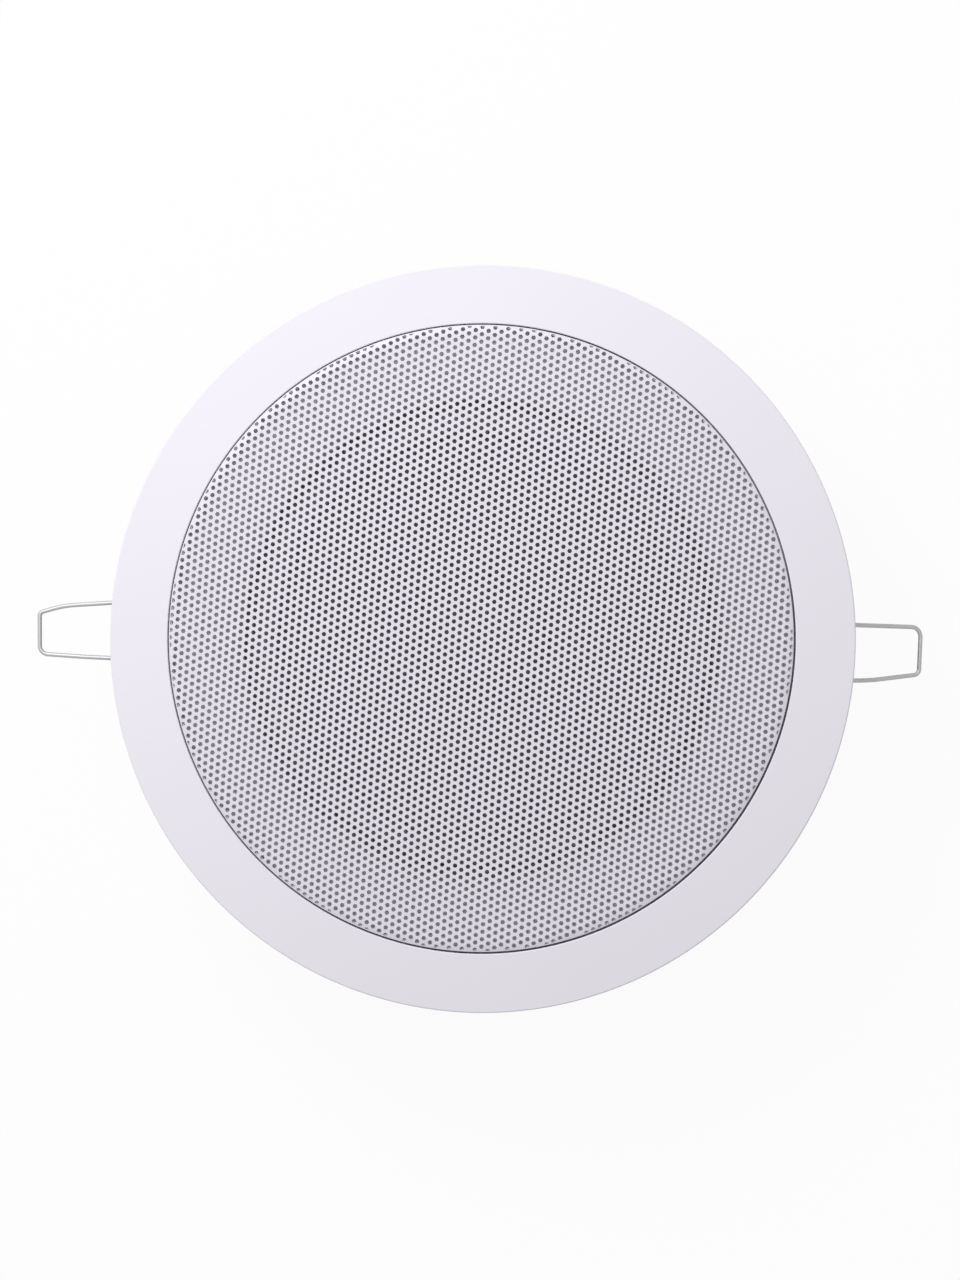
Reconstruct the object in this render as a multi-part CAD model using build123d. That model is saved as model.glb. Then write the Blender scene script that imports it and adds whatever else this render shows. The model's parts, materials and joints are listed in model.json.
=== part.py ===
from build123d import *
import math
import os

# A round in-ceiling speaker, lying face up. Sizes are in millimetres and degrees.
# Z is the sound axis and points out of the grille. Height zero is the back of the
# flange, which meets the ceiling. X runs through the two spring clips.

# Bezel and housing: one white moulding, taken apart at the back of the flange
flange_diameter = 200.0
face_width = 15.8
edge_height = 3.4
face_rise = 0.8
edge_bevel = 0.5
lip_bevel = 0.4
recess_wall = 1.8
shelf_thickness = 3.0
skirt_wall = 2.0
skirt_depth = 16.0

# Grille: perforated steel pan standing in the recess
grille_gap = 0.5
grille_sheet = 0.7
grille_proud = 0.2
grille_bevel = 0.8
hole_pitch = 15.0
hole_across = 8.8
hole_sides = 8
hole_turn = -2.8
hole_land = 1.0

# Spring clips: one wire each, a U loop between two coils on the lug's pegs
wire_diameter = 1.2
wire_sides = 8
coil_turns = 3.5
coil_slack = 0.1
peg_diameter = 5.0
peg_clearance = 0.3
peg_overhang = 1.5
pivot_depth = 9.0
lug_wall = 1.7
lug_clearance = 0.6
notch_clearance = 2.7
loop_root_width = 17.4
loop_tip_width = 12.4
loop_bend = 3.0
clip_reach = 22.6
left_clip_angle = 0.0
right_clip_angle = 22.5

# Driver frame: stamped steel basket, its gasket and its screws
screw_land = 8.5
rim_width = 13.5
baffle_step = 2.0
gasket_thickness = 1.0
gasket_inset = 0.5
frame_sheet = 1.0
frame_depth = 26.0
ledge_drop = 18.0
ledge_width = 5.0
spider_diameter = 76.0
window_count = 8
window_angle = 22.0
window_margin = 4.0
screw_count = 4
screw_diameter = 3.0
screw_head_across = 9.0
screw_head_height = 2.4
post_width = 6.0
post_gap = 0.2
screw_clearance = 0.1
screw_floor = 0.6

# Motor: top plate, ring magnet, and yoke with its pole
coil_diameter = 25.0
pole_gap = 0.6
plate_gap = 0.5
floor_step = 0.5
top_plate_diameter = 64.0
top_plate_thickness = 4.0
magnet_diameter = 70.0
magnet_bore = 34.0
magnet_thickness = 12.0
yoke_diameter = 66.0
yoke_thickness = 4.0

# Moving parts of the driver
glue_line = 0.05
former_wall = 0.25
former_rise = 1.0
former_tail = 0.5
winding_wall = 0.5
winding_height = 9.0
cone_sheet = 0.6
neck_rise = 3.5
cap_diameter = 34.0
cap_crown_diameter = 20.0
cap_rise = 5.0
cap_sheet = 0.6
surround_width = 8.0
surround_sheet = 0.6
surround_rise = 3.0
surround_foot = 1.2
spider_sheet = 0.8
spider_inset = 0.5

# Terminals at the driver's +Y side and the leads that feed the coil
strip_width = 24.0
strip_depth = 9.0
strip_thickness = 1.5
tag_spacing = 15.0
tag_width = 4.8
tag_sheet = 0.6
blade_length = 8.0
rivet_diameter = 3.0
rivet_clearance = 0.1
rivet_head_diameter = 5.6
rivet_head_height = 1.0
lead_width = 1.6
lead_thickness = 0.6
lead_clearance = 0.3
lead_level = 8.0
lead_inside = 6.0

# Radii that follow from the sizes above
flange_radius = flange_diameter / 2
recess_radius = flange_radius - face_width
grille_radius = recess_radius - grille_gap
skirt_radius = recess_radius + recess_wall
skirt_inside = skirt_radius - skirt_wall
rim_radius = skirt_inside - screw_land
mouth_radius = rim_radius - rim_width
baffle_radius = mouth_radius + baffle_step
ledge_radius = spider_diameter / 2
cup_radius = ledge_radius - ledge_width
window_middle = (ledge_radius + mouth_radius) / 2
window_length = mouth_radius - ledge_radius - 2 * window_margin
former_inside = coil_diameter / 2
former_outside = former_inside + former_wall
winding_inside = former_outside + glue_line
winding_outside = winding_inside + winding_wall
pole_radius = former_inside - pole_gap
plate_bore = winding_outside + plate_gap
floor_bore = plate_bore + floor_step
neck_radius = former_outside + glue_line
cone_radius = mouth_radius - surround_width
cap_radius = cap_diameter / 2
screw_circle = rim_radius + post_gap + post_width / 2
screw_radius = screw_diameter / 2
wire_radius = wire_diameter / 2
peg_radius = peg_diameter / 2
lug_radius = peg_radius + lug_wall
pivot_radius = skirt_radius - lug_radius
coil_inside = peg_radius + peg_clearance
coil_outside = coil_inside + wire_diameter + coil_slack
coil_middle = (coil_inside + coil_outside) / 2
coil_end = loop_root_width / 2 + wire_radius
coil_length = coil_turns * wire_diameter
lug_half = coil_end - coil_length - lug_clearance
notch_half = coil_end + notch_clearance

# Heights that follow from the sizes above
face_height = edge_height + face_rise
grille_top = face_height + grille_proud
rim_top = -shelf_thickness - gasket_thickness
rim_bottom = rim_top - frame_sheet
ledge_top = rim_top - ledge_drop
floor_top = rim_top - frame_depth
plate_top = floor_top - frame_sheet
plate_bottom = plate_top - top_plate_thickness
magnet_bottom = plate_bottom - magnet_thickness
yoke_bottom = magnet_bottom - yoke_thickness
neck_top = ledge_top + neck_rise
winding_middle = (plate_top + plate_bottom) / 2
strip_bottom = rim_bottom - strip_thickness
tag_bottom = strip_bottom - tag_sheet
strip_middle = (mouth_radius + rim_radius) / 2
window_height = (ledge_top + rim_top) / 2


def turned(section):
    """A round piece turned about the sound axis from a closed (radius, height) section."""
    return revolve(Plane.XZ * make_face(Polyline(*section, close=True)), Axis.Z)


def disc(radius, bottom, top):
    """A plain disc or shank between two heights."""
    return Pos(0, 0, (bottom + top) / 2) * Cylinder(radius, top - bottom)


def ring(inside, outside, bottom, top):
    """A plain ring between two heights."""
    return turned([(inside, bottom), (outside, bottom), (outside, top), (inside, top)])


def around(count, radius, first_angle):
    """Places evenly spaced on a circle about the sound axis."""
    return [Rot(0, 0, first_angle + 360 * i / count) * Pos(radius, 0, 0) for i in range(count)]


def screw_places():
    """Where the driver's screws stand, between the clips and the terminals."""
    return around(screw_count, screw_circle, 180 / screw_count)


def cone_top(radius):
    """Height of the cone's front face at a radius."""
    share = (radius - neck_radius) / (cone_radius - neck_radius)
    return neck_top + share * (rim_top - neck_top)


def bezel():
    """The white flange around the grille recess, with a bevelled outer edge."""
    section = make_face(
        Polyline(
            (recess_radius, glue_line),
            (skirt_radius, glue_line),
            (skirt_radius, 0),
            (flange_radius, 0),
            (flange_radius, edge_height),
            (recess_radius + lip_bevel, face_height),
            (recess_radius, face_height - lip_bevel),
            close=True,
        )
    )
    outer_edge = section.vertices().sort_by_distance((flange_radius, edge_height, 0))[0]
    return revolve(Plane.XZ * chamfer(outer_edge, edge_bevel), Axis.Z)


def housing():
    """The moulding behind the flange: shelf, skirt, screw posts and clip lugs."""
    body = turned(
        [
            (baffle_radius, -shelf_thickness),
            (skirt_inside, -shelf_thickness),
            (skirt_inside, -skirt_depth),
            (skirt_radius, -skirt_depth),
            (skirt_radius, 0),
            (baffle_radius, 0),
        ]
    )
    notch_height = skirt_depth - shelf_thickness
    notch = Pos(skirt_radius, 0, -shelf_thickness - notch_height / 2)
    notch *= Box(4 * skirt_wall, 2 * notch_half, notch_height)
    for side in (0, 180):
        body -= Rot(0, 0, side) * notch
        body += Rot(0, 0, side) * clip_lug()
    hole = disc(screw_radius + screw_clearance, rim_bottom, -screw_floor)
    post_height = -shelf_thickness - rim_bottom
    post = Pos(0, 0, rim_bottom + post_height / 2) * Box(post_width, post_width, post_height)
    for place in screw_places():
        body += place * post
        body -= place * hole
    return body


def clip_lug():
    """One lug under the shelf, with a peg on each side for the clip's coils."""
    cheek_height = pivot_depth - shelf_thickness
    cheek = Pos(pivot_radius, 0, -shelf_thickness - cheek_height / 2)
    cheek *= Box(2 * lug_radius, 2 * lug_half, cheek_height)
    pivot = Pos(pivot_radius, 0, -pivot_depth) * Rot(90, 0, 0)
    nose = pivot * Cylinder(lug_radius, 2 * lug_half)
    pegs = pivot * Cylinder(peg_radius, 2 * (coil_end + peg_overhang))
    return cheek + nose + pegs


def hole_centres():
    """Centres of the grille's holes: a triangular lattice kept inside the pan's rim."""
    reach = grille_radius - grille_sheet - hole_land - hole_across / 2
    row_step = hole_pitch * math.sqrt(3) / 2
    rows = int(reach / row_step) + 1
    columns = int(reach / hole_pitch) + 2
    centres = []
    for row in range(-rows, rows + 1):
        for column in range(-columns, columns + 1):
            along = (column + (row % 2) / 2) * hole_pitch
            across = row * row_step
            if math.hypot(along, across) <= reach:
                centres.append((across, along))
    return centres


def grille():
    """The painted steel pan with its perforation."""
    pan = turned(
        [
            (0, grille_top - grille_sheet),
            (grille_radius - grille_sheet, grille_top - grille_sheet),
            (grille_radius - grille_sheet, 0),
            (grille_radius, 0),
            (grille_radius, grille_top - grille_bevel),
            (grille_radius - grille_bevel, grille_top),
            (0, grille_top),
        ]
    )
    hole = RegularPolygon(hole_across / 2, hole_sides, major_radius=False)
    holes = Sketch() + [Pos(x, y) * hole for x, y in hole_centres()]
    cutter = Rot(0, 0, hole_turn) * extrude(holes, 2 * grille_sheet)
    return pan - Pos(0, 0, grille_top - 1.5 * grille_sheet) * cutter


def clip(angle):
    """One wire clip on the +X side, turned back from flat by an angle."""
    tip = flange_radius + clip_reach - pivot_radius
    path = FilletPolyline(
        (0, -loop_root_width / 2, -coil_middle),
        (tip, -loop_tip_width / 2, -coil_middle),
        (tip, loop_tip_width / 2, -coil_middle),
        (0, loop_root_width / 2, -coil_middle),
        radius=loop_bend,
    )
    section = RegularPolygon(wire_radius, wire_sides)
    wire = sweep(Plane(origin=path @ 0, z_dir=path % 0) * section, path=path)
    coil = Rot(90, 0, 0) * ring(coil_inside, coil_outside, -coil_length / 2, coil_length / 2)
    for side in (-1, 1):
        wire += Pos(0, side * (coil_end - coil_length / 2), 0) * coil
    return Pos(pivot_radius, 0, -pivot_depth) * Rot(0, angle, 0) * wire


def front_gasket():
    """Card ring between the driver's rim and the shelf."""
    return ring(baffle_radius + gasket_inset, rim_radius - gasket_inset, rim_top, -shelf_thickness)


def basket():
    """Stamped frame: rim, windowed wall, spider ledge, cup and floor, one sheet thick."""
    front = [
        (rim_radius, rim_top),
        (mouth_radius, rim_top),
        (ledge_radius, ledge_top),
        (cup_radius, ledge_top),
        (cup_radius, floor_top),
        (floor_bore, floor_top),
    ]
    back = [
        (floor_bore, floor_top - frame_sheet),
        (cup_radius + frame_sheet, floor_top - frame_sheet),
        (cup_radius + frame_sheet, ledge_top - frame_sheet),
        (ledge_radius + frame_sheet / 2, ledge_top - frame_sheet),
        (mouth_radius + frame_sheet / 2, rim_bottom),
        (rim_radius, rim_bottom),
    ]
    shell = turned(front + back)
    near = window_middle - window_length / 2
    far = window_middle + window_length / 2
    flare = math.tan(math.radians(window_angle / 2))
    corners = [(near, -near * flare), (far, -far * flare), (far, far * flare), (near, near * flare)]
    outline = make_face(Polyline(*corners, close=True))
    window = Pos(0, 0, ledge_top) * extrude(outline, ledge_drop - frame_sheet)
    for i in range(window_count):
        shell -= Rot(0, 0, 360 * i / window_count) * window
    rivet_hole = disc(rivet_diameter / 2 + rivet_clearance, rim_bottom, rim_top)
    return shell - Pos(0, strip_middle, 0) * rivet_hole


def driver_screws():
    """Hexagon-head screws whose heads clamp the basket's rim beside the posts."""
    head = extrude(RegularPolygon(screw_head_across / 2, 6, major_radius=False), screw_head_height)
    screw = disc(screw_radius, rim_bottom, -screw_floor - screw_clearance)
    screw += Pos(0, 0, rim_bottom - screw_head_height) * head
    return Compound([place * screw for place in screw_places()])


def surround():
    """Pleated cloth edge between the cone and the basket's rim."""
    inner = cone_radius + glue_line
    crest = (cone_radius + mouth_radius) / 2
    foot = mouth_radius + surround_sheet
    return turned(
        [
            (inner, rim_top - surround_sheet),
            (crest, rim_top + surround_rise - surround_sheet),
            (foot, rim_top),
            (foot + surround_foot, rim_top),
            (crest, rim_top + surround_rise),
            (inner, rim_top),
        ]
    )


def cone():
    """Straight-sided paper cone."""
    return turned(
        [
            (neck_radius, neck_top - cone_sheet),
            (cone_radius, rim_top - cone_sheet),
            (cone_radius, rim_top),
            (neck_radius, neck_top),
        ]
    )


def dust_cap():
    """Pressed paper cap glued on the cone over the coil, with a flat crown."""
    seat = cone_top(cap_radius) + glue_line
    crown = cap_crown_diameter / 2
    return turned(
        [
            (0, seat + cap_rise),
            (crown, seat + cap_rise),
            (cap_radius, seat),
            (cap_radius - cap_sheet, seat),
            (crown - cap_sheet / 2, seat + cap_rise - cap_sheet),
            (0, seat + cap_rise - cap_sheet),
        ]
    )


def spider():
    """Cloth disc that centres the coil on the basket's ledge."""
    inside = former_outside + glue_line
    return ring(inside, ledge_radius - spider_inset, ledge_top, ledge_top + spider_sheet)


def voice_coil_former():
    """Thin tube that joins the winding to the cone."""
    bottom = winding_middle - winding_height / 2 - former_tail
    return ring(former_inside, former_outside, bottom, neck_top + former_rise)


def voice_coil_winding():
    """Copper winding on the former, centred in the top plate's gap."""
    half = winding_height / 2
    return ring(winding_inside, winding_outside, winding_middle - half, winding_middle + half)


def top_plate():
    """Steel plate in front of the magnet."""
    return ring(plate_bore, top_plate_diameter / 2, plate_bottom, plate_top)


def magnet():
    """Ferrite ring."""
    return ring(magnet_bore / 2, magnet_diameter / 2, magnet_bottom, plate_bottom)


def yoke():
    """Steel back plate and pole in one."""
    plate = disc(yoke_diameter / 2, yoke_bottom, magnet_bottom)
    return plate + disc(pole_radius, magnet_bottom, plate_top)


def terminal_strip():
    """Board riveted under the basket's rim."""
    board = Pos(0, strip_middle, (rim_bottom + strip_bottom) / 2)
    board *= Box(strip_width, strip_depth, strip_thickness)
    hole = disc(rivet_diameter / 2 + rivet_clearance, strip_bottom, rim_bottom)
    return board - Pos(0, strip_middle, 0) * hole


def terminal_tags():
    """Two bent tags under the board, each with a blade that points back."""
    pad = Pos(0, strip_middle, (strip_bottom + tag_bottom) / 2) * Box(tag_width, strip_depth, tag_sheet)
    blade_y = strip_middle + strip_depth / 2 - tag_sheet / 2
    blade = Pos(0, blade_y, tag_bottom - blade_length / 2) * Box(tag_width, tag_sheet, blade_length)
    tag = pad + blade
    return Compound([Pos(side * tag_spacing / 2, 0, 0) * tag for side in (-1, 1)])


def terminal_rivet():
    """Rivet through the board and the basket's rim, flush in front."""
    head_bottom = strip_bottom - rivet_head_height
    rivet = disc(rivet_diameter / 2, strip_bottom, rim_top)
    rivet += disc(rivet_head_diameter / 2, head_bottom, strip_bottom)
    return Pos(0, strip_middle, 0) * rivet


def tinsel_leads():
    """Two flat braids from the tags, level through a window, to the back of the cone."""
    start = strip_middle - strip_depth / 2
    end = window_middle - lead_level / 2 - lead_inside
    front = [
        (end, cone_top(end) - cone_sheet - lead_clearance),
        (window_middle - lead_level / 2, window_height),
        (window_middle + lead_level / 2, window_height),
        (start, tag_bottom - lead_clearance),
    ]
    back = [(y, height - lead_thickness) for y, height in reversed(front)]
    ribbon = extrude(Plane.YZ * make_face(Polyline(*front, *back, close=True)), lead_width / 2, both=True)
    return Compound([Pos(side * tag_spacing / 2, 0, 0) * ribbon for side in (-1, 1)])


PIECES = {
    "bezel": bezel(),
    "housing": housing(),
    "grille": grille(),
    "left_clip": Rot(0, 0, 180) * clip(left_clip_angle),
    "right_clip": clip(right_clip_angle),
    "front_gasket": front_gasket(),
    "basket": basket(),
    "driver_screws": driver_screws(),
    "surround": surround(),
    "cone": cone(),
    "dust_cap": dust_cap(),
    "spider": spider(),
    "voice_coil_former": voice_coil_former(),
    "voice_coil_winding": voice_coil_winding(),
    "top_plate": top_plate(),
    "magnet": magnet(),
    "yoke": yoke(),
    "terminal_strip": terminal_strip(),
    "terminal_tags": terminal_tags(),
    "terminal_rivet": terminal_rivet(),
    "tinsel_leads": tinsel_leads(),
}

os.makedirs("parts", exist_ok=True)
for node, shape in PIECES.items():
    export_step(shape, f"parts/{node}.step")
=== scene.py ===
"""An in-ceiling speaker dressed over its solid model: perforated grille, bezel, spring clips and driver."""

from __future__ import annotations

import json
import logging
import math
from abc import ABC, abstractmethod
from dataclasses import dataclass, field
from enum import Enum
from typing import Callable, Iterable, Sequence, Union

import bmesh
import bpy
from mathutils import Matrix, Vector
from mathutils.geometry import delaunay_2d_cdt
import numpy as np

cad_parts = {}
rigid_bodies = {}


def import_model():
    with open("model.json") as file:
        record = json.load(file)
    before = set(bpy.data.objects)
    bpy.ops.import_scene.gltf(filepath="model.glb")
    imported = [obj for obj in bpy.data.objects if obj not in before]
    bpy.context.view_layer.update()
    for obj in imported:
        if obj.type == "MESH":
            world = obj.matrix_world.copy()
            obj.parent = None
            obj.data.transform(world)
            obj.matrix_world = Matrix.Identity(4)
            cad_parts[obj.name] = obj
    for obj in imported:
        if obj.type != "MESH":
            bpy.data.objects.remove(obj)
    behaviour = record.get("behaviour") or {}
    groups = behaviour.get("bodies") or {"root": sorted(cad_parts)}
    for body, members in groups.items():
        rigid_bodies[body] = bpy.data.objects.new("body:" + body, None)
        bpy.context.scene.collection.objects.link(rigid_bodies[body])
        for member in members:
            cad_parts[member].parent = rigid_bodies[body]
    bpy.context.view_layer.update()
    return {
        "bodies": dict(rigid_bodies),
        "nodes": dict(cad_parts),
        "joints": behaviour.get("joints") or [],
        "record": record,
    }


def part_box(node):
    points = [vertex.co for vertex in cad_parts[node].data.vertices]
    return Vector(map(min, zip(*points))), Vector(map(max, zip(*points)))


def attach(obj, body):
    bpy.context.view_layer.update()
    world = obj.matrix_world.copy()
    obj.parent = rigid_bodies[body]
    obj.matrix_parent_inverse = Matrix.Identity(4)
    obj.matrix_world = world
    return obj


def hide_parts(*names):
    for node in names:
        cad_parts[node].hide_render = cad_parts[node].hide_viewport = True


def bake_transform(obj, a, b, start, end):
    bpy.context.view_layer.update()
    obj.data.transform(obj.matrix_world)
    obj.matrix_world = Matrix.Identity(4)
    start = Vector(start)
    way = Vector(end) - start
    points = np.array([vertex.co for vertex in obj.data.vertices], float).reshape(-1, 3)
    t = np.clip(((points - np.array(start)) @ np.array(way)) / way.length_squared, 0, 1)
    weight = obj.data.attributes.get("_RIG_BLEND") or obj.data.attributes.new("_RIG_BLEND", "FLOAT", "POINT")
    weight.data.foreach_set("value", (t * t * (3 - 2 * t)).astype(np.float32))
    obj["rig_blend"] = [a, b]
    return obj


LOG = logging.getLogger("ceiling_speaker")

MM = 0.001
BLEND_WEIGHTS = "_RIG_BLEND"

Flat = tuple[float, float]
Point = tuple[float, float, float]
Colour = tuple[float, float, float]
Corner = tuple[float, float, float]
Operand = Union["Flow", float, Colour]

# Share of an edge that a fillet may take, and share of a fillet's reach that is held flat beyond it
FILLET_SHARE = 0.45
HOLD_SHARE = 0.2

# How finely meshes are drawn, with lengths in millimetres and angles in degrees
FILLET_STEPS = 5
TURN_STEPS = 192
BEVEL_STEPS = 3
SHARP_ANGLE = 38.0
ON_AXIS = 1e-6
MERGE_GAP = 1e-7

# Sizes in millimetres that sub-assemblies share, with heights from the back of the flange
SKIRT_RADIUS = 86.0
SHELF_THICKNESS = 3.0
PIVOT_RADIUS = 81.8
PIVOT_DEPTH = 9.0
MOUTH_RADIUS = 62.0
RIM_TOP = -4.0
YOKE_BACK = -51.0

WHITE: Colour = (1.0, 1.0, 1.0)


class Body(Enum):
    """The bodies of the solid model that a piece can ride on."""

    ROOT = "root"
    CONE = "cone"
    LEFT_CLIP = "left_clip"
    RIGHT_CLIP = "right_clip"


class Side(Enum):
    """The two sides of the speaker that carry a spring clip."""

    LEFT = "left"
    RIGHT = "right"


def rounded(corners: Sequence[Corner], closed: bool = True, steps: int = FILLET_STEPS) -> list[Flat]:
    """Round the corners of a flat outline and hold its straight runs flat.

    Args:
        corners: Points of the outline, each with its own fillet radius.
        closed: Whether the last point joins the first.
        steps: Straight pieces in each fillet.

    Returns:
        The outline's points, with arcs at the filleted corners.
    """
    outline: list[Flat] = []
    count = len(corners)
    for index, (x, y, radius) in enumerate(corners):
        here = Vector((x, y))
        at_end = not closed and index in (0, count - 1)
        if radius <= 0 or at_end:
            outline.append((x, y))
            continue
        before = Vector(corners[index - 1][:2]) - here
        after = Vector(corners[(index + 1) % count][:2]) - here
        half = before.angle(after) / 2
        reach = min(radius / math.tan(half), FILLET_SHARE * before.length, FILLET_SHARE * after.length)
        back = before.normalized()
        ahead = after.normalized()
        start = here + back * reach
        end = here + ahead * reach
        middle = here + (back + ahead).normalized() * (reach / math.cos(half))
        arm_start = start - middle
        turn = arm_start.angle_signed(end - middle)
        hold = HOLD_SHARE * reach
        outline.append(tuple(start + back * hold))
        for step in range(steps + 1):
            arm = arm_start.copy()
            arm.rotate(Matrix.Rotation(-turn * step / steps, 2))
            outline.append(tuple(middle + arm))
        outline.append(tuple(end + ahead * hold))
    return outline


def circle(radius: float, steps: int) -> list[Flat]:
    """Points spread evenly round a circle about the sound axis."""
    angles = [2 * math.pi * step / steps for step in range(steps)]
    return [(radius * math.cos(angle), radius * math.sin(angle)) for angle in angles]


def spun(place: Flat, angle: float) -> Flat:
    """Turn a flat place about the sound axis by an angle in radians."""
    cosine, sine = math.cos(angle), math.sin(angle)
    return place[0] * cosine - place[1] * sine, place[0] * sine + place[1] * cosine


def sheet_outline(middle: Sequence[Flat], thickness: float) -> list[Flat]:
    """Thicken an open line into the closed section of a sheet.

    Args:
        middle: Points of the sheet's middle line.
        thickness: Thickness of the sheet.

    Returns:
        The section's outline, along one side and back along the other.
    """
    front: list[Flat] = []
    back: list[Flat] = []
    last = len(middle) - 1
    for index, (x, y) in enumerate(middle):
        ahead = Vector(middle[min(index + 1, last)]) - Vector(middle[max(index - 1, 0)])
        normal = Vector((-ahead.y, ahead.x)).normalized() * (thickness / 2)
        front.append((x + normal.x, y + normal.y))
        back.append((x - normal.x, y - normal.y))
    return front + back[::-1]


def curve_through(points: Sequence[Point], steps: int = 8) -> list[Point]:
    """Draw a smooth curve through points in space.

    Args:
        points: Points that the curve passes.
        steps: Straight pieces between neighbouring points.

    Returns:
        The points of the curve.
    """
    line = [Vector(point) for point in points]
    ends = [2 * line[0] - line[1], *line, 2 * line[-1] - line[-2]]
    curve: list[Point] = []
    for index in range(1, len(ends) - 2):
        a, b, c, d = ends[index - 1 : index + 3]
        for step in range(steps):
            t = step / steps
            doubled = 2 * b + (c - a) * t
            doubled += (2 * a - 5 * b + 4 * c - d) * t**2
            doubled += (3 * b - a - 3 * c + d) * t**3
            curve.append(tuple(doubled / 2))
    curve.append(tuple(line[-1]))
    return curve


def places(piece: bpy.types.Object) -> list[Vector]:
    """Places of a piece's vertices, in millimetres."""
    return [vertex.co / MM for vertex in piece.data.vertices]


@dataclass
class Shell:
    """Points in millimetres and faces that grow into one mesh."""

    points: list[Point] = field(default_factory=list)
    faces: list[tuple[int, ...]] = field(default_factory=list)

    def add(self, points: Iterable[Point], faces: Iterable[Sequence[int]]) -> Shell:
        """Append points and faces.

        Args:
            points: Points in millimetres.
            faces: Faces as places in these points.

        Returns:
            The same shell, so that calls can be chained.
        """
        first = len(self.points)
        self.points.extend(tuple(point) for point in points)
        self.faces.extend(tuple(first + place for place in face) for face in faces)
        return self

    def turn(
        self, outline: Sequence[Flat], steps: int = TURN_STEPS, start: float = 0.0, sweep: float = 360.0
    ) -> Shell:
        """Turn a closed section of radius and height about the sound axis.

        Args:
            outline: Section points; those at radius zero become one point.
            steps: Steps in a full circle.
            start: Angle at which a part circle starts, in degrees.
            sweep: Angle that it covers, in degrees.

        Returns:
            The same shell.
        """
        whole = sweep >= 360
        count = max(2, round(steps * sweep / 360))
        rings = count if whole else count + 1
        angles = [math.radians(start + sweep * ring / count) for ring in range(rings)]
        points: list[Point] = []
        rows: list[list[int]] = []
        for radius, height in outline:
            if radius < ON_AXIS:
                points.append((0.0, 0.0, height))
                rows.append([len(points) - 1] * rings)
                continue
            rows.append(list(range(len(points), len(points) + rings)))
            points.extend((radius * math.cos(a), radius * math.sin(a), height) for a in angles)
        faces: list[tuple[int, ...]] = []
        for low, high in zip(rows, rows[1:] + rows[:1]):
            for ring in range(count):
                follow = (ring + 1) % rings
                corners = (low[ring], low[follow], high[follow], high[ring])
                face = tuple(dict.fromkeys(corners))
                if len(face) > 2:
                    faces.append(face)
        if not whole:
            faces.append(tuple(row[0] for row in rows))
            faces.append(tuple(row[-1] for row in reversed(rows)))
        return self.add(points, faces)

    def tube(self, path: Sequence[Point], radius: Union[float, Sequence[float]], sides: int) -> Shell:
        """Sweep a round bar along a path, with closed ends.

        Args:
            path: Points of the bar's middle line.
            radius: One radius, or one for each point.
            sides: Corners of the bar's section.

        Returns:
            The same shell.
        """
        line = [Vector(point) for point in path]
        last = len(line) - 1
        radii = [radius] * len(line) if isinstance(radius, (int, float)) else list(radius)
        tangents = [(line[min(i + 1, last)] - line[max(i - 1, 0)]).normalized() for i in range(len(line))]
        across = tangents[0].orthogonal().normalized()
        points: list[Point] = []
        for index, (middle, tangent) in enumerate(zip(line, tangents)):
            if index:
                across = tangents[index - 1].rotation_difference(tangent) @ across
            beside = tangent.cross(across)
            for side in range(sides):
                angle = 2 * math.pi * side / sides
                offset = across * math.cos(angle) + beside * math.sin(angle)
                points.append(tuple(middle + offset * radii[index]))
        faces: list[tuple[int, ...]] = []
        for base in range(0, last * sides, sides):
            for side in range(sides):
                follow = (side + 1) % sides
                faces.append((base + side, base + follow, base + sides + follow, base + sides + side))
        faces.append(tuple(reversed(range(sides))))
        faces.append(tuple(range(len(points) - sides, len(points))))
        return self.add(points, faces)

    def block(self, centre: Point, size: Point, bevel: float) -> Shell:
        """Add a box with rounded edges.

        Args:
            centre: Middle of the box.
            size: Its three sides.
            bevel: Radius of its edges.

        Returns:
            The same shell.
        """
        work = bmesh.new()
        place = Matrix.Translation(centre) @ Matrix.Diagonal((*size, 1.0))
        bmesh.ops.create_cube(work, size=1.0, matrix=place)
        edges = work.edges[:]
        bmesh.ops.bevel(work, geom=edges, offset=bevel, segments=BEVEL_STEPS, profile=0.5, affect="EDGES")
        work.verts.index_update()
        points = [tuple(vertex.co) for vertex in work.verts]
        faces = [[vertex.index for vertex in face.verts] for face in work.faces]
        work.free()
        return self.add(points, faces)

    def pierce(
        self,
        border: Sequence[Flat],
        holes: Sequence[Sequence[Flat]],
        front: Callable[[float, float], float],
        thickness: float,
        guides: Sequence[Sequence[Flat]] = (),
    ) -> Shell:
        """Fill a border around holes and give it a front, a back and edges.

        Args:
            border: Outer outline seen along the sound axis, convex.
            holes: Outlines of the openings.
            front: Height of the front at a place.
            thickness: Distance from the front to the back, along the sound axis.
            guides: Extra closed lines for the faces to follow.

        Returns:
            The same shell.
        """
        flat: list[Vector] = []
        edges: list[tuple[int, int]] = []
        openings: list[list[int]] = []
        for line in (border, *guides):
            first = len(flat)
            flat.extend(Vector(place) for place in line)
            edges.extend((first + i, first + (i + 1) % len(line)) for i in range(len(line)))
        for hole in holes:
            openings.append(list(range(len(flat), len(flat) + len(hole))))
            flat.extend(Vector(place) for place in hole)
        spots, _, triangles, _, _, sources = delaunay_2d_cdt(flat, edges, openings, 0, MERGE_GAP)
        kept = [tuple(triangle) for triangle, source in zip(triangles, sources) if not source]
        count = len(spots)
        points = [(x, y, front(x, y)) for x, y in spots]
        points.extend((x, y, height - thickness) for x, y, height in points[:count])
        rim = {(a, b) for face in kept for a, b in zip(face, face[1:] + face[:1])}
        faces: list[tuple[int, ...]] = list(kept)
        faces.extend(tuple(count + place for place in reversed(face)) for face in kept)
        faces.extend((b, a, count + a, count + b) for a, b in sorted(rim) if (b, a) not in rim)
        return self.add(points, faces)

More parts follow.
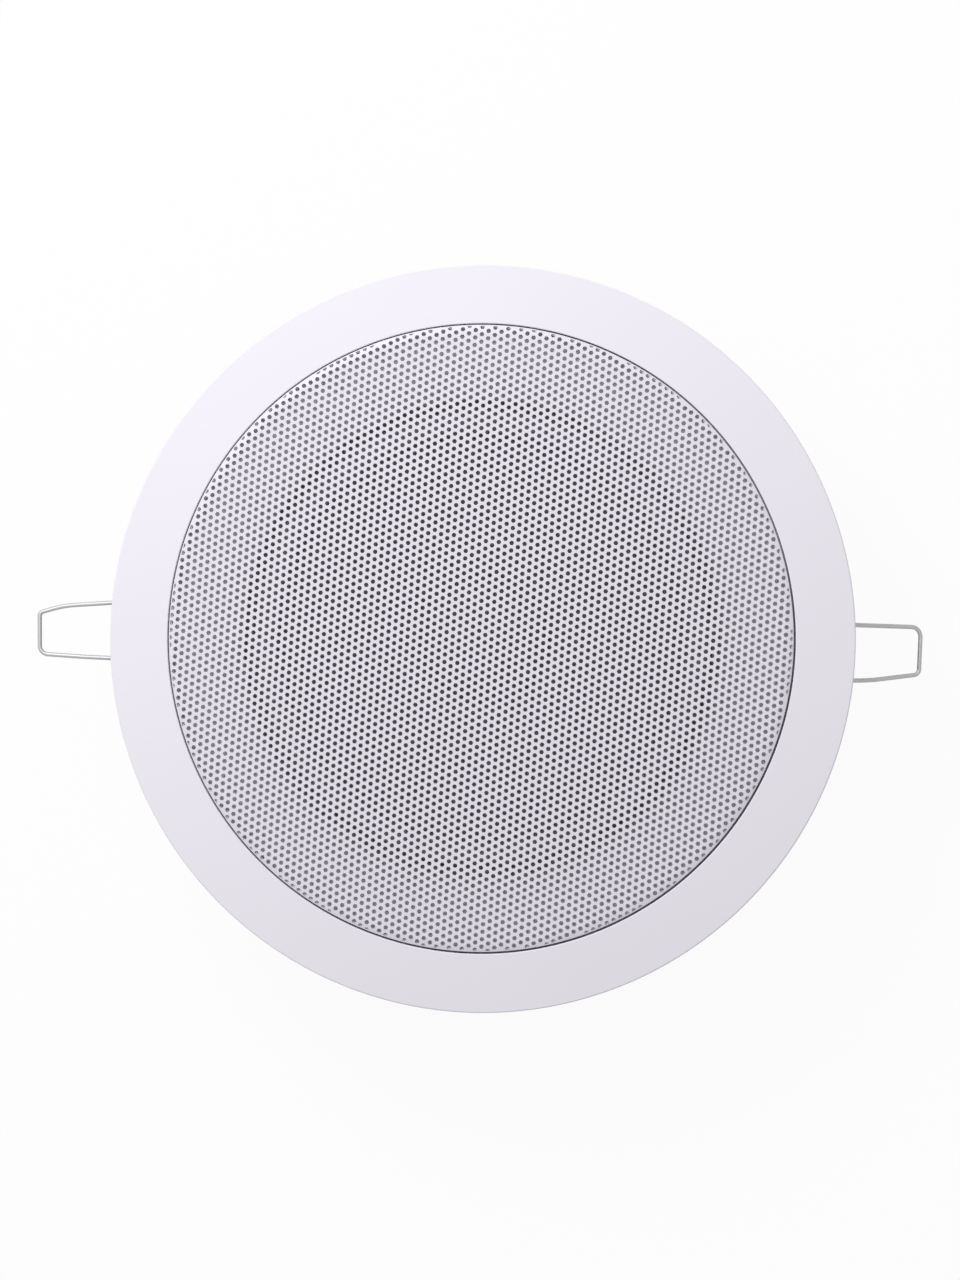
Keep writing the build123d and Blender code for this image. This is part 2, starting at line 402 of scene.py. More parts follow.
    def moved(self, matrix: Matrix) -> Shell:
        """Move every point by a matrix in millimetres, and return the same shell."""
        self.points = [tuple(matrix @ Vector(point)) for point in self.points]
        return self

    def piece(self, name: str, sharp: float = SHARP_ANGLE) -> bpy.types.Object:
        """Make the mesh and its object in the scene.

        Args:
            name: Name of the piece.
            sharp: Angle between faces above which an edge stays sharp, in degrees.

        Returns:
            The new object.
        """
        mesh = bpy.data.meshes.new(name)
        mesh.from_pydata([[value * MM for value in point] for point in self.points], [], self.faces)
        work = bmesh.new()
        work.from_mesh(mesh)
        loose = [vertex for vertex in work.verts if not vertex.link_faces]
        bmesh.ops.delete(work, geom=loose, context="VERTS")
        bmesh.ops.recalc_face_normals(work, faces=work.faces[:])
        work.to_mesh(mesh)
        work.free()
        mesh.shade_smooth()
        mesh.set_sharp_from_angle(angle=math.radians(sharp))
        made = bpy.data.objects.new(name, mesh)
        bpy.context.scene.collection.objects.link(made)
        return made


class Flow:
    """A shader socket that takes part in Python expressions, each of which adds its nodes."""

    def __init__(self, graph: Graph, socket: bpy.types.NodeSocket | None) -> None:
        """Wrap one output socket of a graph."""
        self.graph = graph
        self.socket = socket

    def _join(self, operation: str, left: Operand, right: Operand) -> Flow:
        """Add the node for an operation on this kind of socket.

        Args:
            operation: Name of the operation.
            left: First operand.
            right: Second operand.

        Returns:
            The result.
        """
        if self.socket.type == "RGBA":
            settings = {"data_type": "RGBA", "blend_type": operation}
            return self.graph.node("ShaderNodeMix", settings, {0: 1.0, 6: left, 7: right}, 2)
        kind = "ShaderNodeVectorMath" if self.socket.type == "VECTOR" else "ShaderNodeMath"
        return self.graph.node(kind, {"operation": operation}, {0: left, 1: right})

    def __add__(self, other: Operand) -> Flow:
        """Sum."""
        return self._join("ADD", self, other)

    def __radd__(self, other: Operand) -> Flow:
        """Sum with a plain number in front."""
        return self._join("ADD", other, self)

    def __sub__(self, other: Operand) -> Flow:
        """Difference."""
        return self._join("SUBTRACT", self, other)

    def __rsub__(self, other: Operand) -> Flow:
        """Difference with a plain number in front."""
        return self._join("SUBTRACT", other, self)

    def __mul__(self, other: Operand) -> Flow:
        """Product."""
        return self._join("MULTIPLY", self, other)

    def __rmul__(self, other: Operand) -> Flow:
        """Product with a plain number in front."""
        return self._join("MULTIPLY", other, self)

    def __pow__(self, other: Operand) -> Flow:
        """Power of a value."""
        return self._join("POWER", self, other)

    def __rpow__(self, other: Operand) -> Flow:
        """Power of a plain number."""
        return self._join("POWER", other, self)

    def wave(self) -> Flow:
        """Sine of a value in radians, brought to the range from 0 to 1."""
        return self.graph.node("ShaderNodeMath", {"operation": "SINE"}, {0: self}) * 0.5 + 0.5

    def between(self, low: float, high: float) -> Flow:
        """Bring a value in the range from 0 to 1 to the range from low to high."""
        return low + (high - low) * self

    def over(self, low: Colour, high: Colour) -> Flow:
        """Mix two colours by this value, from low at 0 to high at 1."""
        return self.graph.node("ShaderNodeMix", {"data_type": "RGBA"}, {0: self, 6: low, 7: high}, 2)

    def beside(self, out: int | str) -> Flow:
        """Another output of the same node, by number or name."""
        return Flow(self.graph, self.socket.node.outputs[out])


class Graph:
    """The node tree of one material or of the world."""

    def __init__(self, tree: bpy.types.NodeTree) -> None:
        """Start from an empty tree."""
        self.tree = tree
        self.tree.nodes.clear()

    def node(
        self, kind: str, settings: dict | None = None, inputs: dict | None = None, out: int | str = 0
    ) -> Flow:
        """Make a node.

        Args:
            kind: Blender's name of the node's type.
            settings: Properties of the node, set first; a ramp's stops go under "stops".
            inputs: Values or flows for its sockets, by number or name.
            out: Output socket that is returned, by number or name.

        Returns:
            The chosen output, or an empty flow for a node without outputs.
        """
        made = self.tree.nodes.new(kind)
        for name, value in (settings or {}).items():
            if name == "stops":
                self._set_stops(made.color_ramp.elements, value)
            else:
                setattr(made, name, value)
        for key, value in (inputs or {}).items():
            socket = made.inputs[key]
            if isinstance(value, Flow):
                self.tree.links.new(value.socket, socket)
            elif isinstance(value, (int, float)) and socket.type in ("VECTOR", "RGBA"):
                socket.default_value = [value] * len(socket.default_value)
            elif isinstance(value, tuple) and socket.type == "RGBA":
                socket.default_value = (*value, 1.0)
            else:
                socket.default_value = value
        return Flow(self, made.outputs[out] if made.outputs else None)

    @staticmethod
    def _set_stops(elements: bpy.types.ColorRampElements, stops: Sequence[tuple[float, Colour]]) -> None:
        """Give a ramp its stops.

        Args:
            elements: The new ramp's own two stops.
            stops: Place and colour of every stop, in rising order.
        """
        elements[0].position = stops[0][0]
        elements[1].position = stops[-1][0]
        for place, _ in stops[1:-1]:
            elements.new(place)
        for element, (_, colour) in zip(elements, stops):
            element.color = (*colour, 1.0)

    def place(self) -> Flow:
        """Place on the piece, in metres."""
        return self.node("ShaderNodeTexCoord", out="Object")

    def noise(self, cells: Union[float, Point], detail: float = 2.0) -> Flow:
        """Cloudy noise over the piece, between 0 and 1.

        Args:
            cells: Cells in a metre, alike in all directions or along each axis.
            detail: Octaves of finer noise.

        Returns:
            The noise.
        """
        sockets = {"Vector": self.place() * cells, "Scale": 1.0, "Detail": detail}
        return self.node("ShaderNodeTexNoise", None, sockets)

    def axes(self) -> tuple[Flow, Flow, Flow]:
        """The three coordinates on the piece, in metres."""
        x = self.node("ShaderNodeSeparateXYZ", None, {0: self.place()})
        return x, x.beside(1), x.beside(2)

    def radius(self) -> Flow:
        """Distance from the sound axis, in metres."""
        x, y, _ = self.axes()
        return (x * x + y * y) ** 0.5

    def angle(self) -> Flow:
        """Angle about the sound axis, in radians."""
        x, y, _ = self.axes()
        return self.node("ShaderNodeMath", {"operation": "ARCTAN2"}, {0: y, 1: x})

    def bump(self, height: Flow, depth: float) -> Flow:
        """Surface normal of a relief, from its height between 0 and 1 and its depth in millimetres."""
        return self.node("ShaderNodeBump", None, {"Distance": depth * MM, "Height": height})


@dataclass(frozen=True)
class Layers:
    """What changes over a finish: the mix of its two tones, its roughness and the height of its relief."""

    tone: Flow
    roughness: Flow
    relief: Flow


@dataclass(frozen=True)
class Finish(ABC):
    """A finish between two tones, which makes one material; its relief's depth is in millimetres."""

    name: str
    slot: str
    dark: Colour
    pale: Colour
    depth: float = field(default=0.01, kw_only=True)
    metallic: float = field(default=0.0, kw_only=True)
    specular: float = field(default=0.5, kw_only=True)

    @abstractmethod
    def layers(self, graph: Graph) -> Layers:
        """Lay out the finish.

        Args:
            graph: Node tree of the material.

        Returns:
            What changes over the surface.
        """

    def colour(self, graph: Graph, tone: Flow) -> Flow:
        """Mix the two tones into the colour of the surface."""
        return tone.over(self.dark, self.pale)

    def material(self) -> bpy.types.Material:
        """Make the material, or give the one already made.

        Returns:
            The material.
        """
        found = bpy.data.materials.get(self.name)
        if found:
            return found
        made = bpy.data.materials.new(self.name)
        made.use_nodes = True
        graph = Graph(made.node_tree)
        layers = self.layers(graph)
        sockets = {
            "Base Color": self.colour(graph, layers.tone),
            "Roughness": layers.roughness,
            "Normal": graph.bump(layers.relief, self.depth),
            "Metallic": self.metallic,
            "Specular IOR Level": self.specular,
        }
        surface = graph.node("ShaderNodeBsdfPrincipled", None, sockets)
        graph.node("ShaderNodeOutputMaterial", None, {"Surface": surface})
        return made


@dataclass(frozen=True, kw_only=True)
class MouldedPlastic(Finish):
    """Satin moulding with a fine spark-eroded grain."""

    cloud_cells: float = 22.0
    grain_cells: float = 1900.0
    roughness: Flat = (0.55, 0.63)
    depth: float = 0.012
    specular: float = 0.3

    def layers(self, graph: Graph) -> Layers:
        """Cloud the colour a little and grain the surface."""
        grain = graph.noise(self.grain_cells, detail=3.0)
        return Layers(graph.noise(self.cloud_cells), grain.between(*self.roughness), grain)


@dataclass(frozen=True, kw_only=True)
class PaintedShadePlastic(MouldedPlastic):
    """The same moulding behind the grille, darkened towards the driver's mouth by painted shade.

    Its painted shade is a list of radii in millimetres, each with the share of the colour that is left
    there.
    """

    # Painted shade: the colour darkens towards the driver's mouth in place of the shade behind the grille
    painted_shade: tuple[Flat, ...] = ((64.0, 0.56), (66.0, 0.7), (69.0, 0.84), (74.0, 0.93), (82.0, 1.0))
    span: float = 100.0

    def colour(self, graph: Graph, tone: Flow) -> Flow:
        """Paint shade onto the moulding by its distance from the sound axis.

        Args:
            graph: Node tree of the material.
            tone: Mix of the two tones.

        Returns:
            The colour of the surface.
        """
        stops = [(radius / self.span, (share, share, share)) for radius, share in self.painted_shade]
        away = graph.radius() * (1.0 / (self.span * MM))
        # Painted shade ramp, darkest at the driver's mouth
        left = graph.node("ShaderNodeValToRGB", {"stops": stops}, {"Fac": away})
        return super().colour(graph, tone) * left


@dataclass(frozen=True, kw_only=True)
class PowderCoat(Finish):
    """Stoved powder paint with a slight orange peel."""

    film_cells: float = 60.0
    peel_cells: float = 900.0
    roughness: Flat = (0.42, 0.52)
    depth: float = 0.02

    def layers(self, graph: Graph) -> Layers:
        """Vary the colour by film thickness and dimple the gloss."""
        peel = graph.noise(self.peel_cells)
        return Layers(graph.noise(self.film_cells, detail=3.0), peel.between(*self.roughness), peel)


@dataclass(frozen=True, kw_only=True)
class DrawnWire(Finish):
    """Bright drawn spring steel with die marks along the wire."""

    streak_cells: Point = (90.0, 2600.0, 2600.0)
    patch_cells: float = 140.0
    streak_share: float = 0.65
    roughness: Flat = (0.5, 0.65)
    depth: float = 0.008
    metallic: float = 1.0

    def layers(self, graph: Graph) -> Layers:
        """Streak the metal along the wire and dull it in patches.

        Args:
            graph: Node tree of the material.

        Returns:
            What changes over the surface.
        """
        streak = graph.noise(self.streak_cells, detail=3.0)
        patch = graph.noise(self.patch_cells)
        tone = self.streak_share * streak + (1 - self.streak_share) * patch
        return Layers(tone, patch.between(*self.roughness), streak)


@dataclass(frozen=True, kw_only=True)
class TurnedSteel(Finish):
    """Zinc-plated steel with turning marks about the sound axis."""

    marks: float = 9000.0
    wander: float = 4.0
    wander_cells: float = 35.0
    cloud_cells: float = 48.0
    roughness: Flat = (0.3, 0.4)
    mark_roughness: float = 0.06
    depth: float = 0.006
    metallic: float = 1.0

    def layers(self, graph: Graph) -> Layers:
        """Ring the surface and tint the passivated zinc in clouds.

        Args:
            graph: Node tree of the material.

        Returns:
            What changes over the surface.
        """
        rings = (self.marks * graph.radius() + self.wander * graph.noise(self.wander_cells)).wave()
        cloud = graph.noise(self.cloud_cells, detail=3.0)
        roughness = cloud.between(*self.roughness) + self.mark_roughness * rings
        return Layers(cloud, roughness, rings)


@dataclass(frozen=True, kw_only=True)
class PlatedSteel(Finish):
    """Plated metal of small pressed parts, with handling marks."""

    cloud_cells: float = 260.0
    scuff_cells: Point = (500.0, 3600.0, 900.0)
    roughness: Flat = (0.26, 0.4)
    scuff_roughness: float = 0.08
    depth: float = 0.006
    metallic: float = 1.0

    def layers(self, graph: Graph) -> Layers:
        """Cloud the plating and scuff it finely.

        Args:
            graph: Node tree of the material.

        Returns:
            What changes over the surface.
        """
        cloud = graph.noise(self.cloud_cells, detail=3.0)
        scuff = graph.noise(self.scuff_cells)
        roughness = cloud.between(*self.roughness) + self.scuff_roughness * scuff
        return Layers(cloud, roughness, scuff)


@dataclass(frozen=True, kw_only=True)
class Ferrite(Finish):
    """Pressed and ground ferrite, nearly black."""

    speck_cells: float = 1500.0
    cloud_cells: float = 70.0
    speck_share: float = 0.6
    roughness: Flat = (0.5, 0.7)
    depth: float = 0.03

    def layers(self, graph: Graph) -> Layers:
        """Speckle the ceramic and cloud it.

        Args:
            graph: Node tree of the material.

        Returns:
            What changes over the surface.
        """
        speck = graph.noise(self.speck_cells, detail=4.0)
        cloud = graph.noise(self.cloud_cells, detail=3.0)
        tone = self.speck_share * speck + (1 - self.speck_share) * cloud
        return Layers(tone, speck.between(*self.roughness), speck)


@dataclass(frozen=True, kw_only=True)
class Pulp(Finish):
    """Felted paper fibre."""

    long_cells: float = 420.0
    short_cells: float = 1800.0
    deep_cells: float = 900.0
    roughness: Flat = (0.78, 0.96)
    depth: float = 0.06

    def layers(self, graph: Graph) -> Layers:
        """Tangle fibres that lie along and across.

        Args:
            graph: Node tree of the material.

        Returns:
            What changes over the surface.
        """
        along = graph.noise((self.long_cells, self.short_cells, self.deep_cells), detail=4.0)
        across = graph.noise((self.short_cells, self.long_cells, self.deep_cells), detail=4.0)
        fibre = 0.5 * along + 0.5 * across
        return Layers(fibre, fibre.between(*self.roughness), fibre)


@dataclass(frozen=True, kw_only=True)
class Weave(Finish):
    """Coated cloth, woven round the sound axis, with its spacing in millimetres."""

    threads: float
    spacing: float
    soak_cells: float = 150.0
    thread_share: float = 0.7
    roughness: Flat = (0.55, 0.8)
    depth: float = 0.08

    def layers(self, graph: Graph) -> Layers:
        """Cross two sets of threads and soak them with coating in clouds.

        Args:
            graph: Node tree of the material.

        Returns:
            What changes over the surface.
        """
        warp = (self.threads * graph.angle()).wave()
        weft = (2 * math.pi / (self.spacing * MM) * graph.radius()).wave()
        thread = 0.5 * warp + 0.5 * weft
        soak = graph.noise(self.soak_cells, detail=3.0)
        tone = self.thread_share * thread + (1 - self.thread_share) * soak
        return Layers(tone, soak.between(*self.roughness), thread)


@dataclass(frozen=True, kw_only=True)
class WoundWire(Finish):
    """Enamelled copper wire, wound or braided in fine rings, with its lay in millimetres."""

    lay: float
    slant: float = 0.0
    enamel_cells: float = 300.0
    ridge_share: float = 0.7
    roughness: Flat = (0.28, 0.43)
    depth: float = 0.06
    metallic: float = 1.0

    def layers(self, graph: Graph) -> Layers:
        """Ridge the wire turns and let the enamel vary.

        Args:
            graph: Node tree of the material.

        Returns:
            What changes over the surface.
        """
        x, y, z = graph.axes()
        ridge = (2 * math.pi / (self.lay * MM) * (z + self.slant * (x + y))).wave()
        enamel = graph.noise(self.enamel_cells)
        tone = self.ridge_share * ridge + (1 - self.ridge_share) * enamel
        return Layers(tone, enamel.between(*self.roughness), ridge)


@dataclass(frozen=True, kw_only=True)
class Laminate(Finish):
    """Resin-bonded paper board."""

    streak_cells: Point = (160.0, 900.0, 2400.0)
    roughness: Flat = (0.34, 0.5)
    depth: float = 0.015

    def layers(self, graph: Graph) -> Layers:
        """Streak the board along its sheets."""
        streak = graph.noise(self.streak_cells, detail=4.0)
        return Layers(streak, streak.between(*self.roughness), streak)


def tones(colour: Colour, deep: float, light: float) -> tuple[Colour, Colour]:
    """A darker and a paler tone of a colour, as shares of it, the paler one kept within white."""
    return tuple(value * deep for value in colour), tuple(min(1.0, value * light) for value in colour)


MOULDING_TONES = tones((0.83, 0.8, 0.87), deep=0.986, light=1.012)
COAT_TONES = tones((0.752, 0.728, 0.79), deep=0.98, light=1.015)
PAINT_TONES = tones((0.04, 0.04, 0.044), deep=0.98, light=1.015)
WHITE_MOULDING = MouldedPlastic("white_moulding", "white_plastic", *MOULDING_TONES)
# The housing's moulding, with painted shade that darkens it towards the driver's mouth
WHITE_SHELF_PAINTED_SHADE = PaintedShadePlastic("white_shelf_moulding", "white_plastic", *MOULDING_TONES)
WHITE_COAT = PowderCoat("white_powder_coat", "white_painted_steel", *COAT_TONES)
BLACK_COAT = PowderCoat(
    "black_stoved_paint", "black_painted_steel", *PAINT_TONES, roughness=(0.3, 0.4), depth=0.03
)
BRIGHT_WIRE = DrawnWire("bright_spring_wire", "spring_wire", (0.33, 0.33, 0.345), (0.58, 0.58, 0.595))
ZINC_TURNED = TurnedSteel("zinc_turned_steel", "zinc_steel", (0.46, 0.48, 0.52), (0.57, 0.55, 0.48))
ZINC_SCREW = PlatedSteel("zinc_screw", "zinc_steel", (0.6, 0.62, 0.65), (0.72, 0.69, 0.6))
TINNED = PlatedSteel("tinned_brass", "tinned_brass", (0.7, 0.69, 0.66), (0.8, 0.77, 0.7))
GROUND_FERRITE = Ferrite("ground_ferrite", "ferrite", (0.045, 0.045, 0.05), (0.1, 0.1, 0.105))
CONE_PAPER = Pulp("dark_cone_paper", "cone_paper", (0.203, 0.198, 0.224), (0.366, 0.356, 0.4))
GASKET_CARD = Pulp("grey_gasket_card", "gasket_card", (0.14, 0.135, 0.13), (0.24, 0.23, 0.22))
FORMER_PAPER = Pulp("brown_former_paper", "former_paper", (0.42, 0.29, 0.15), (0.56, 0.41, 0.24), depth=0.02)
EDGE_CLOTH = Weave(
    "grey_edge_cloth",
    "coated_cloth",
    (0.305, 0.298, 0.332),
    (0.466, 0.456, 0.505),
    threads=900.0,
    spacing=0.42,
)
SPIDER_CLOTH = Weave(
    "amber_spider_cloth",
    "spider_cloth",
    (0.5, 0.32, 0.09),
    (0.76, 0.54, 0.2),
    threads=420.0,
    spacing=0.5,
)
COIL_COPPER = WoundWire("coil_copper", "copper", (0.5, 0.22, 0.11), (0.78, 0.42, 0.24), lay=0.25)
BRAID_COPPER = WoundWire("braided_copper", "copper", (0.42, 0.2, 0.1), (0.8, 0.46, 0.28), lay=0.6, slant=0.8)
TERMINAL_BOARD = Laminate("brown_terminal_board", "terminal_board", (0.2, 0.1, 0.045), (0.36, 0.21, 0.1))


@dataclass
class Fitter:
    """Puts finished pieces onto the frame of the solid model."""

    frame: dict
    break_steps: int = 2
    break_angle: float = 40.0
    fitted: list[str] = field(default_factory=list)

    def fit(self, piece: bpy.types.Object, body: Body, finish: Finish, node: str) -> None:
        """Give a piece its finish, hide the solid it stands for and put it on the body it rides on."""
        self.dress(piece, finish, node)
        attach(piece, body.value)

    def stretch(
        self, piece: bpy.types.Object, body: Body, finish: Finish, node: str, shares: Iterable[float]
    ) -> None:
        """Fit a springy piece between the fixed body and a moving one.

        Args:
            piece: The object.
            body: Body that its moving end follows.
            finish: Its finish.
            node: Solid that it replaces.
            shares: Each vertex's share of the body's motion, cut off at 0 and 1.
        """
        self.dress(piece, finish, node)
        low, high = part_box(node)
        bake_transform(piece, Body.ROOT.value, body.value, low, high)
        weights = [min(1.0, max(0.0, share)) for share in shares]
        piece.data.attributes[BLEND_WEIGHTS].data.foreach_set("value", weights)

    def dress(self, piece: bpy.types.Object, finish: Finish, node: str = "") -> None:
        """Give a piece its finish and hide the solid it stands for.

        Args:
            piece: The object.
            finish: Its finish.
            node: Solid that it replaces, if it isn't a solid itself.
        """
        piece.data.materials.clear()
        piece.data.materials.append(finish.material())
        if node:
            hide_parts(node)
        self.fitted.append(piece.name)
        LOG.info("%s: %d faces, %s", piece.name, len(piece.data.polygons), finish.name)

    def solid(self, node: str, finish: Finish, bevel: float = 0.0) -> None:
        """Dress a solid of the model as it stands.

        Args:
            node: Name of the solid.
            finish: Its finish.
            bevel: Width of the broken edges in millimetres, or 0 to leave them.
        """
        piece = self.frame["nodes"][node]
        self.dress(piece, finish)
        if bevel:
            edges = piece.modifiers.new("broken_edges", "BEVEL")
            edges.width = bevel * MM
            edges.segments = self.break_steps
            edges.limit_method = "ANGLE"
            edges.angle_limit = math.radians(self.break_angle)
            edges.harden_normals = True


@dataclass
class Bezel:
    """The white flange around the grille."""

    recess_radius: float = 84.2
    skirt_radius: float = SKIRT_RADIUS
    flange_radius: float = 100.0
    edge_height: float = 3.4
    face_height: float = 4.2
    seam: float = 0.05
    edge_round: float = 0.4
    back_round: float = 0.4
    lip_round: float = 0.25
    fillet_steps: int = 7
    turn_steps: int = 288

    def build(self, fitter: Fitter) -> None:
        """Turn the flange with its soft outer edge and inner lip.

        Args:
            fitter: Takes the finished pieces.
        """
        corners = [
            (self.recess_radius, self.seam, 0.0),
            (self.skirt_radius, self.seam, 0.0),
            (self.skirt_radius, 0.0, 0.0),
            (self.flange_radius, 0.0, self.back_round),
            (self.flange_radius, self.edge_height, self.edge_round),
            (self.recess_radius, self.face_height, self.lip_round),
        ]
        flange = Shell().turn(rounded(corners, steps=self.fillet_steps), self.turn_steps)
        fitter.fit(flange.piece("bezel_flange"), Body.ROOT, WHITE_MOULDING, "bezel")


@dataclass
class Housing:
    """The white moulding behind the flange: shelf, skirt, posts and clip lugs."""

    shelf_inside: float = 64.0
    skirt_radius: float = SKIRT_RADIUS
    skirt_wall: float = 2.0
    shelf_thickness: float = SHELF_THICKNESS
    skirt_depth: float = 16.0
    notch_half: float = 12.0
    pivot_radius: float = PIVOT_RADIUS
    pivot_depth: float = PIVOT_DEPTH
    lug_radius: float = 4.2
    lug_half: float = 4.5
    peg_radius: float = 2.5
    peg_half: float = 10.8
    screw_circle: float = 78.7
    screw_count: int = 4
    post_width: float = 6.0
    post_bottom: float = -5.0
    edge_round: float = 0.4
    post_round: float = 0.3
    lug_round: float = 0.05
    peg_sides: int = 48
    turn_steps: int = 256

    def build(self, fitter: Fitter) -> None:
        """Turn the shelf and the two halves of the skirt, and add the lugs and posts.

        Args:
            fitter: Takes the finished pieces.
        """
        shell = Shell()
        inside = self.skirt_radius - self.skirt_wall
        shelf = [
            (self.shelf_inside, -self.shelf_thickness, self.edge_round),
            (self.skirt_radius, -self.shelf_thickness, 0.0),
            (self.skirt_radius, 0.0, 0.0),
            (self.shelf_inside, 0.0, self.edge_round),
        ]
        shell.turn(rounded(shelf), self.turn_steps)
        wall = [
            (inside, -self.shelf_thickness, 0.0),
            (inside, -self.skirt_depth, self.edge_round),
            (self.skirt_radius, -self.skirt_depth, self.edge_round),
            (self.skirt_radius, -self.shelf_thickness, 0.0),
        ]
        opening = math.degrees(math.asin(self.notch_half / self.skirt_radius))
        for start in (opening, 180.0 + opening):
            shell.turn(rounded(wall), self.turn_steps, start, 180.0 - 2 * opening)
        for side in (-1, 1):
            self._add_lug(shell, side)
        height = -self.shelf_thickness - self.post_bottom
        centre = (self.screw_circle, 0.0, self.post_bottom + height / 2)
        size = (self.post_width, self.post_width, height)
        for index in range(self.screw_count):
            turn = Matrix.Rotation(2 * math.pi * (index + 0.5) / self.screw_count, 4, "Z")
            post = Shell().block(centre, size, self.post_round).moved(turn)
            shell.add(post.points, post.faces)
        # The whole housing moulding takes the finish with painted shade towards the mouth
        fitter.fit(shell.piece("housing_moulding"), Body.ROOT, WHITE_SHELF_PAINTED_SHADE, "housing")

    def _add_lug(self, shell: Shell, side: int) -> None:
        """Add one clip lug with its two pegs.

        Args:
            shell: Shell that takes the lug.
            side: 1 for the right lug and -1 for the left one.
        """
        x = side * self.pivot_radius
        cheek = self.pivot_depth - self.shelf_thickness
        centre = (x, 0.0, -self.shelf_thickness - cheek / 2)
        shell.block(centre, (2 * self.lug_radius, 2 * self.lug_half, cheek), self.lug_round)
        for radius, half, edge in (
            (self.lug_radius, self.lug_half, self.edge_round),
            (self.peg_radius, self.peg_half, 2 * self.edge_round),
        ):
            stations = [(-half, radius - edge), (-half + edge, radius)]
            stations += [(-y, size) for y, size in reversed(stations)]
            path = [(x, y, -self.pivot_depth) for y, _ in stations]
            shell.tube(path, [size for _, size in stations], self.peg_sides)


@dataclass
class Grille:
    """The white steel pan with its fine perforation."""

    radius: float = 83.76
    top: float = 4.4
    sheet: float = 0.7
    bend: float = 0.25
    bend_round: float = 0.2
    shoulder: float = 2.2
    shoulder_drop: float = 0.4
    pitch: float = 2.0
    hole: float = 1.2
    hole_sides: int = 6
    turn: float = -2.55
    edge_land: float = 0.05
    least_cut: float = 0.35
    seat: Flat = (-0.1, 0.1)
    border_steps: int = 360
    sharp_angle: float = 65.0

    def _holes(self) -> list[list[Flat]]:
        """Outlines of the holes.

        Returns:
            One outline for each hole of the triangular lattice, cut off where it meets the bend.
        """
        reach = self.radius - self.bend - self.edge_land
        row_step = self.pitch * math.sqrt(3) / 2
        rows = int(reach / row_step) + 1
        columns = int(reach / self.pitch) + 2
        area = self.hole_sides / 2 * math.sin(2 * math.pi / self.hole_sides)
        corner = self.hole / 2 * math.sqrt(math.pi / area)
        spin = math.radians(self.turn)
        cutter = [spun(place, spin) for place in circle(corner, self.hole_sides)]
        outlines: list[list[Flat]] = []
        for row in range(-rows, rows + 1):
            for column in range(-columns, columns + 1):
                x, y = spun((row * row_step, (column + (row % 2) / 2) * self.pitch), spin)
                if math.hypot(x, y) > reach + self.hole / 2 - self.least_cut:
                    continue
                outline: list[Flat] = []
                for a, b in cutter:
                    trim = min(1.0, reach / math.hypot(x + a, y + b))
                    outline.append(((x + a) * trim, (y + b) * trim))
                outlines.append(outline)
        return outlines

    def _front(self, x: float, y: float) -> float:
        """Height of the sheet's front at a place, which falls towards the bend."""
        share = (math.hypot(x, y) - self.radius + self.bend + self.shoulder) / self.shoulder
        return self.top - self.shoulder_drop * max(0.0, share) ** 2

    def build(self, fitter: Fitter) -> None:
        """Perforate the sheet, which falls a little near its edge, and turn the bend and the lip.

        Args:
            fitter: Takes the finished pieces.
        """
        flat = self.radius - self.bend
        holes = self._holes()
        shell = Shell().pierce(circle(flat, self.border_steps), holes, self._front, self.sheet)
        edge = self._front(flat, 0.0)
        lip = [
            (flat, edge - self.sheet, 0.0),
            (self.radius - self.sheet, edge - self.sheet, 0.0),
            (self.radius - self.sheet, 0.0, 0.0),
            (self.radius, 0.0, 0.0),
            (self.radius, self._front(self.radius, 0.0), self.bend_round),
            (flat, edge, 0.0),
        ]
        shell.turn(rounded(lip), self.border_steps).moved(Matrix.Translation((*self.seat, 0.0)))
        LOG.info("grille_pan: %d holes", len(holes))
        fitter.fit(shell.piece("grille_pan", self.sharp_angle), Body.ROOT, WHITE_COAT, "grille")


# Bends of each loop from one leg to the other: distance from the pivot, place across and radius
LEFT_BENDS: tuple[Corner, ...] = (
    (34.5, -5.57, 30.0),
    (41.1, -3.5, 1.2),
    (40.7, 7.8, 2.4),
    (28.0, 8.3, 90.0),
)
RIGHT_BENDS: tuple[Corner, ...] = (
    (26.0, -8.15, 60.0),
    (40.75, -6.1, 1.7),
    (40.9, 6.8, 2.7),
    (20.0, 6.82, 40.0),
)


